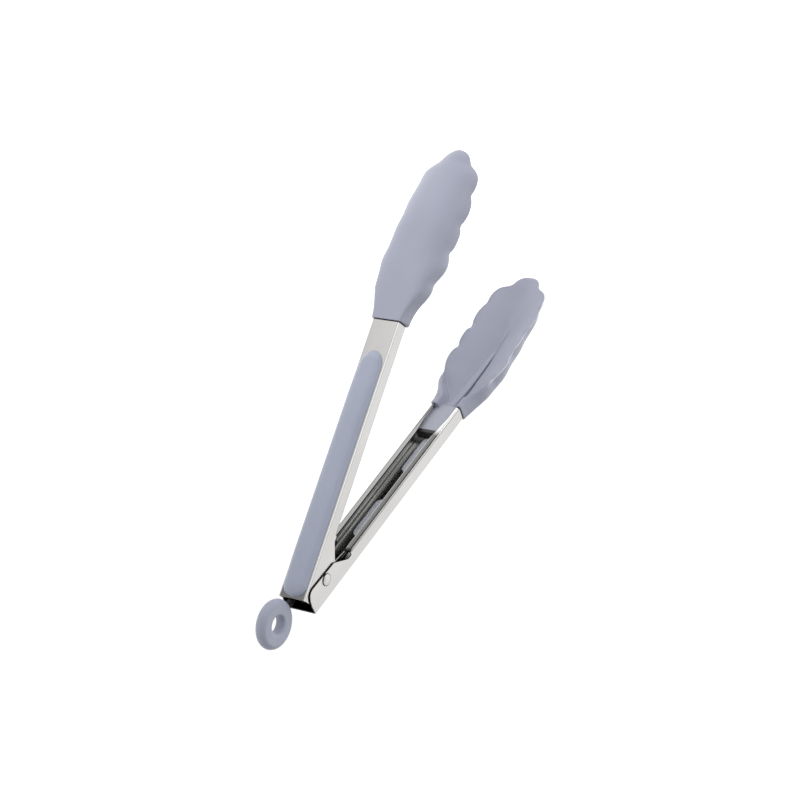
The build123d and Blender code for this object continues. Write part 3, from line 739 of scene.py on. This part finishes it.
def silicone(name, base, rough=(0.42, 0.52), sheen=0.25, edges=False, gloss=0.4):
    n = Net(name)
    vec = n.coords()
    big = n.noise(n.scaled(vec, (0.03, 0.03, 0.03)), 1.0, 2.0, 0.5)
    grain = n.noise(vec, 6.0, 2.0, 0.6)
    c = np.array(base)
    col = n.ramp(big, [(0.3, tuple(c * 0.97)), (0.7, tuple(c * 1.03))])
    # edges: painted highlight along the near rims and painted shade in the slit, read from the mesh attribute
    if edges:
        at = n.node("ShaderNodeAttribute", attribute_name="rim_light_slit_shade")
        col = n.mix(n.remap(at.outputs["Fac"], 0.15, 0.8, 0, 1), col, (0.54, 0.55, 0.60))
        # painted shade in the slit
        col = n.mix(n.remap(at.outputs["Fac"], -0.08, -0.85, 0, 0.66), col, tuple(c * 0.25))
    n.set(Base_Color=col, Roughness=n.remap(grain, 0.3, 0.7, rough[0], rough[1]))
    n.bsdf.inputs["Specular IOR Level"].default_value = gloss
    n.bsdf.inputs["Sheen Weight"].default_value = sheen
    n.bsdf.inputs["Sheen Roughness"].default_value = 0.35
    n.bsdf.inputs["Subsurface Weight"].default_value = 0.1
    n.bsdf.inputs["Subsurface Radius"].default_value = (1.0, 1.0, 1.1)
    n.bsdf.inputs["Subsurface Scale"].default_value = 0.0010
    n.bump(grain, 0.04, 0.00006)
    return n.mat


def metal(name, base, rough, scale=(3.0, 3.0, 3.0)):
    n = Net(name)
    vec = n.coords()
    fine = n.noise(n.scaled(vec, scale), 1.0, 3.0, 0.6)
    c = np.array(base)
    n.set(Base_Color=n.ramp(fine, [(0.3, tuple(c * 0.94)), (0.7, tuple(c * 1.05))]), Metallic=1.0,
          Roughness=n.remap(fine, 0.3, 0.7, rough[0], rough[1]))
    n.bump(fine, 0.04, 0.00005)
    return n.mat


def plastic(name, base, rough):
    n = Net(name)
    vec = n.coords()
    grain = n.noise(vec, 2.5, 3.0, 0.6)
    c = np.array(base)
    n.set(Base_Color=n.ramp(grain, [(0.3, tuple(c * 0.9)), (0.7, tuple(c * 1.1))]),
          Roughness=n.remap(grain, 0.3, 0.7, rough[0], rough[1]))
    n.bsdf.inputs["Specular IOR Level"].default_value = 0.25
    n.bump(grain, 0.08, 0.0001)
    return n.mat


M_HEAD = silicone("head_silicone", (0.288, 0.298, 0.372), edges=True)
M_GRIP = silicone("grip_soft", (0.256, 0.280, 0.360), rough=(0.32, 0.42), sheen=0.8, gloss=0.7)
# painted light: a lighter copy of the grip rubber for the plugs, which sit in shade
M_PLUG_LIT = silicone("grip_plug_painted_light", (0.50, 0.515, 0.57), sheen=0.0)
M_RING = silicone("ring_soft", (0.286, 0.302, 0.378))


def core_mat(side):
    """Moulded insert: silicone coloured tongue with a bare dark end."""
    n = Net(f"core_{side}")
    vec = arm_coords(n, side)
    u, v, w = n.xyz(vec)
    grain = n.noise(vec, 2.5, 3.0, 0.6)
    c = np.array((0.345, 0.358, 0.415))
    skin = n.ramp(grain, [(0.3, tuple(c * 0.97)), (0.7, tuple(c * 1.03))])
    bare = n.ramp(grain, [(0.3, (0.012, 0.012, 0.014)), (0.7, (0.03, 0.03, 0.034))])
    end = n.remap(u, 132.3, 132.7, 1, 0)
    n.set(Base_Color=n.mix(end, skin, bare), Roughness=n.remap(grain, 0.3, 0.7, 0.42, 0.55))
    n.bump(grain, 0.06, 0.0001)
    return n.mat


def rivet_mat():
    n = Net("rivet_steel")
    full = RY.T
    vec = n.coords(full, tuple(-full @ PLACE))
    x, y, z = n.xyz(vec)
    r = n.math("SQRT", n.math("ADD", n.math("MULTIPLY", x, x), n.math("MULTIPLY", y, y)))
    turn = n.noise(n.scaled(vec, (3, 3, 3)), 1.0, 3.0, 0.6)
    face = n.ramp(turn, [(0.3, (0.385, 0.38, 0.375)), (0.7, (0.415, 0.41, 0.405))])
    # painted shade: a dark ring round the rim of the rivet head
    n.set(Base_Color=n.mix(n.remap(r, 3.25, 3.4, 0, 1), face, (0.015, 0.015, 0.015)), Metallic=1.0,
          Roughness=n.remap(turn, 0.3, 0.7, 0.2, 0.28))
    n.bump(turn, 0.03, 0.00005)
    return n.mat


M_LOCK = plastic("lock_nylon_black", (0.008, 0.008, 0.009), (0.4, 0.6))
M_RIVET = rivet_mat()
M_SLEEVE = metal("sleeve_steel", (0.3, 0.3, 0.3), (0.3, 0.45))
M_SPRING = metal("spring_wire", (0.32, 0.31, 0.3), (0.22, 0.35), (6, 6, 6))


def dress(ob, mat):
    ob.data.materials.clear()
    ob.data.materials.append(mat)


for name, mat in (("outer_arm", steel("outer")), ("inner_arm", steel("inner")), ("hinge_rivet", M_RIVET),
                  ("hinge_sleeve", M_SLEEVE), ("lock_plate", M_LOCK)):
    dress(nodes[name], mat)

for side in ("outer", "inner"):
    body = f"{side}_arm_body"
    ob = make_object(f"{side}_head_silicone", *head_mesh(side), sharp_deg=50)
    dress(ob, M_HEAD)
    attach(ob, body)
    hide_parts(f"{side}_head")
    ob = make_object(f"{side}_head_insert", *core_mesh(side), sharp_deg=50)
    dress(ob, core_mat(side))
    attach(ob, body)
    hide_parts(f"{side}_head_core")
    ob = make_object(f"{side}_grip_rubber", *grip_mesh(side), sharp_deg=50)
    dress(ob, M_GRIP)
    ob.data.materials.append(M_PLUG_LIT)
    m_i, o_i = arm_axes(side)
    inv = np.linalg.inv(m_i)
    for poly in ob.data.polygons:
        pa = (np.array(poly.center) * 1000.0 - PLACE) @ RY
        if ((pa - o_i) @ inv.T)[1] > 0.5:
            poly.material_index = 1
    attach(ob, body)
    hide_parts(f"{side}_grip")

ring = make_object("pull_ring_soft", *ring_mesh(), sharp_deg=50)
dress(ring, M_RING)
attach(ring, "lock_body")
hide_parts("pull_ring")

sv, sf = tube(spring_path(), WIRE_R)
spring = make_object("spring_wire", to_row(sv), sf)
dress(spring, M_SPRING)
pitch = 2 * WIRE_R + 0.06
z0, z1 = COIL_Z0, COIL_Z0 + pitch * COIL_N
tuple(to_row([(0, 0, z0 + 0.02)])[0])
tuple(to_row([(0, 0, z1 - 0.02)])[0])
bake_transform(spring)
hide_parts("torsion_spring")

# ------------------------------------------------------------------ floor, light, camera
fm = Net("floor_glow")
fv = fm.coords(scale=(1, 1, 1))
fn = fm.noise(fv, 900.0, 2.0, 0.5)
fm.set(Base_Color=fm.ramp(fn, [(0.3, (0.15, 0.15, 0.15)), (0.7, (0.17, 0.17, 0.17))]), Roughness=0.9)
fm.bsdf.inputs["Specular IOR Level"].default_value = 0.0
# the floor glows as a light source, brighter toward +x and +y, lighting the object from below; its low albedo keeps
# shadows off it
fm.bsdf.inputs["Emission Color"].default_value = (1, 1, 1, 1)
fx, fy, fz = fm.xyz(fv)
slope = fm.math("ADD", fm.math("MULTIPLY", fx, 0.45), fm.math("MULTIPLY", fy, 0.89))
fm.set(Emission_Strength=fm.remap(slope, -0.09, 0.14, 0.93, 1.50, smooth=True))
floor = make_object("floor", [(-9, -9, -0.001), (9, -9, -0.001), (9, 9, -0.001), (-9, 9, -0.001)], [(0, 1, 2, 3)], smooth=False)
dress(floor, fm.mat)

world = bpy.data.worlds.new("studio")
bpy.context.scene.world = world
world.use_nodes = True
wt = world.node_tree
bg = wt.nodes["Background"]
bg.inputs["Color"].default_value = (1, 1, 1, 1)
w_co = wt.nodes.new("ShaderNodeTexCoord")
w_dot = wt.nodes.new("ShaderNodeVectorMath")
w_dot.operation = "DOT_PRODUCT"
w_dot.inputs[1].default_value = (0.50, 0.55, 0.67)
w_map = wt.nodes.new("ShaderNodeMapRange")
for k_s, v_s in (("From Min", -0.6), ("From Max", 0.8), ("To Min", 0.05), ("To Max", 1.02)):
    w_map.inputs[k_s].default_value = v_s
wt.links.new(w_co.outputs["Generated"], w_dot.inputs[0])
wt.links.new(w_dot.outputs["Value"], w_map.inputs["Value"])
wt.links.new(w_map.outputs["Result"], bg.inputs["Strength"])


def area(name, pos, aim, size, power, size_y=None, color=(1, 1, 1)):
    d = bpy.data.lights.new(name, "AREA")
    d.shape = "RECTANGLE" if size_y else "SQUARE"
    d.size = size
    if size_y:
        d.size_y = size_y
    d.energy = power
    d.color = color
    ob = bpy.data.objects.new(name, d)
    bpy.context.scene.collection.objects.link(ob)
    ob.location = pos
    ob.rotation_euler = (Vector(aim) - Vector(pos)).to_track_quat("-Z", "Y").to_euler()
    return ob


mid = Vector((0.0, 0.0, 0.02))
area("wall_box", mid + Vector((0.448, -0.720, 0.530)) * 1.8, mid, 2.0, 14.6)
area("fold_box", mid + Vector((0.13, 0.58, 0.79)) * 1.7, mid, 0.9, 2.0)
area("rim_box", mid + Vector((0.784, 0.334, 0.524)) * 1.5, mid, 0.5, 2.4)

cam_d = bpy.data.cameras.new("cam")
cam = bpy.data.objects.new("cam", cam_d)
bpy.context.scene.collection.objects.link(cam)
cam_d.sensor_width = 36.0
cam_d.lens = 100.45086
cam_d.clip_start = 0.01
cam.matrix_world = Matrix((
    (0.37607, 0.811093, -0.447995, -0.566565),
    (-0.385912, 0.576663, 0.720092, 0.938392),
    (0.842403, -0.097918, 0.529876, 0.705869),
    (0, 0, 0, 1),
))
bpy.context.scene.camera = cam
bpy.context.scene.view_settings.view_transform = "Standard"
bpy.context.scene.view_settings.look = "None"
